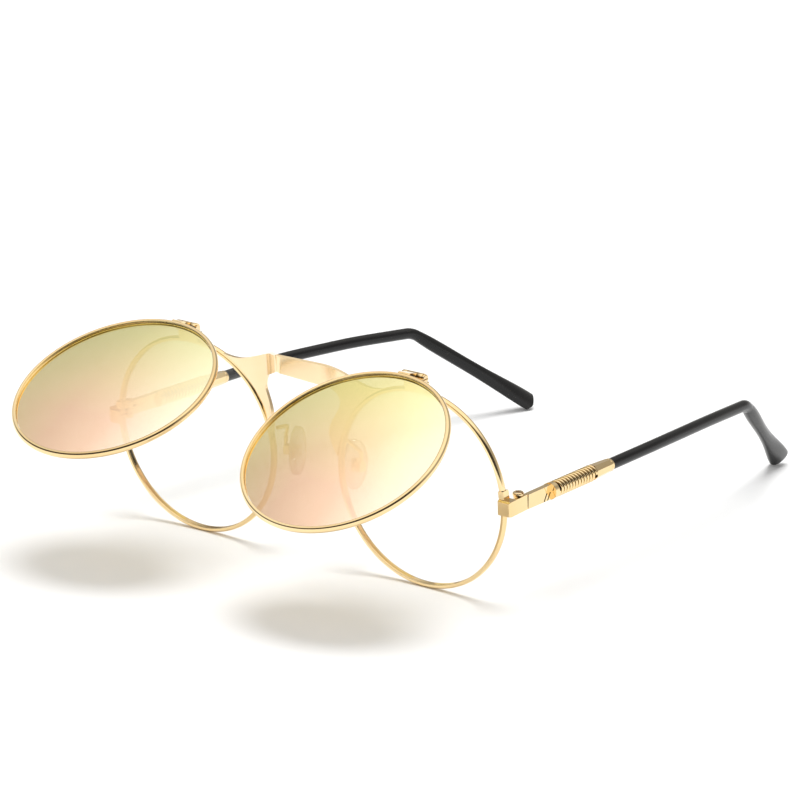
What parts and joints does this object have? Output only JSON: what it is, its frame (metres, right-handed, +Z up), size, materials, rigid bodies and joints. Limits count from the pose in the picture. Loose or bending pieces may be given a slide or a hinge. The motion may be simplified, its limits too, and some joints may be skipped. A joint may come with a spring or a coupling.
{
  "type": "flip-up sunglasses",
  "caption": "Round metal flip-up sunglasses: clear inner lenses, mirrored outer lenses hinged above them, folding temples with decorative springs and black tips.",
  "frame": {"origin": "middle of the underside of the overall box, on the surface that the glasses stand on; X = 0 is midway between the rims", "axes": "+X to the right as seen from the front, +Y from the front back along the open temples, +Z up"},
  "size_m": [0.1334, 0.21, 0.0583],
  "materials": {
    "rim_gold": "polished",
    "bridge_gold": "polished",
    "fitting_gold": "polished",
    "temple_gold": "polished",
    "spring_gold": "polished",
    "screw_gold": "polished",
    "clear_lens": "clear",
    "mirror_lens": "mirror coated",
    "tip_black": "polished",
    "core_steel": "plain",
    "pad_silicone": "clear"
  },
  "bodies": {
    "front_frame": {"bridge_plate": "bridge_gold", "right_eye_rim": "rim_gold", "left_eye_rim": "rim_gold", "right_clear_lens": "clear_lens", "left_clear_lens": "clear_lens", "right_flip_bracket": "fitting_gold", "left_flip_bracket": "fitting_gold", "right_flip_pin": "screw_gold", "left_flip_pin": "screw_gold", "right_end_piece": "fitting_gold", "left_end_piece": "fitting_gold", "right_hinge_screw": "screw_gold", "left_hinge_screw": "screw_gold", "right_closing_blocks": "fitting_gold", "left_closing_blocks": "fitting_gold", "right_closing_screw": "screw_gold", "left_closing_screw": "screw_gold", "right_pad_arm": "fitting_gold", "left_pad_arm": "fitting_gold", "right_pad_screw": "screw_gold", "left_pad_screw": "screw_gold"},
    "right_temple": {"right_temple_bar": "temple_gold", "right_temple_spring": "spring_gold", "right_temple_ferrule": "temple_gold", "right_temple_sleeve": "tip_black", "right_temple_core": "core_steel"},
    "right_flip": {"right_flip_rim": "rim_gold", "right_flip_lens": "mirror_lens", "right_flip_arm": "fitting_gold"},
    "right_pad": {"right_nose_pad": "pad_silicone", "right_pad_lug": "fitting_gold"},
    "left_temple": {"left_temple_bar": "temple_gold", "left_temple_spring": "spring_gold", "left_temple_ferrule": "temple_gold", "left_temple_sleeve": "tip_black", "left_temple_core": "core_steel"},
    "left_flip": {"left_flip_rim": "rim_gold", "left_flip_lens": "mirror_lens", "left_flip_arm": "fitting_gold"},
    "left_pad": {"left_nose_pad": "pad_silicone", "left_pad_lug": "fitting_gold"}
  },
  "joints": [
    {"name": "right_temple_fold", "type": "hinge", "parent": "front_frame", "child": "right_temple", "pos_m": [0.0639, -0.04458, 0.02705], "axis": [0, -0.0872, 0.9962], "range_deg": [0, 80]},
    {"name": "left_temple_fold", "type": "hinge", "parent": "front_frame", "child": "left_temple", "pos_m": [-0.0639, -0.04458, 0.02705], "axis": [0, 0.0872, -0.9962], "range_deg": [0, 72]},
    {"name": "right_flip_hinge", "type": "hinge", "parent": "front_frame", "child": "right_flip", "pos_m": [0.0368, -0.05258, 0.05593], "axis": [-1, 0, 0], "range_deg": [-62.7, 29.8]},
    {"name": "left_flip_hinge", "type": "hinge", "parent": "front_frame", "child": "left_flip", "pos_m": [-0.0368, -0.05258, 0.05593], "axis": [-1, 0, 0], "range_deg": [-68.5, 24]},
    {"name": "right_pad_rock", "type": "hinge", "parent": "front_frame", "child": "right_pad", "pos_m": [0.01142, -0.04177, 0.0256], "axis": [0.2588, 0.9659, 0], "range_deg": [-8, 8]},
    {"name": "left_pad_rock", "type": "hinge", "parent": "front_frame", "child": "left_pad", "pos_m": [-0.01142, -0.04177, 0.0256], "axis": [-0.2588, 0.9659, 0], "range_deg": [-8, 8]}
  ]
}
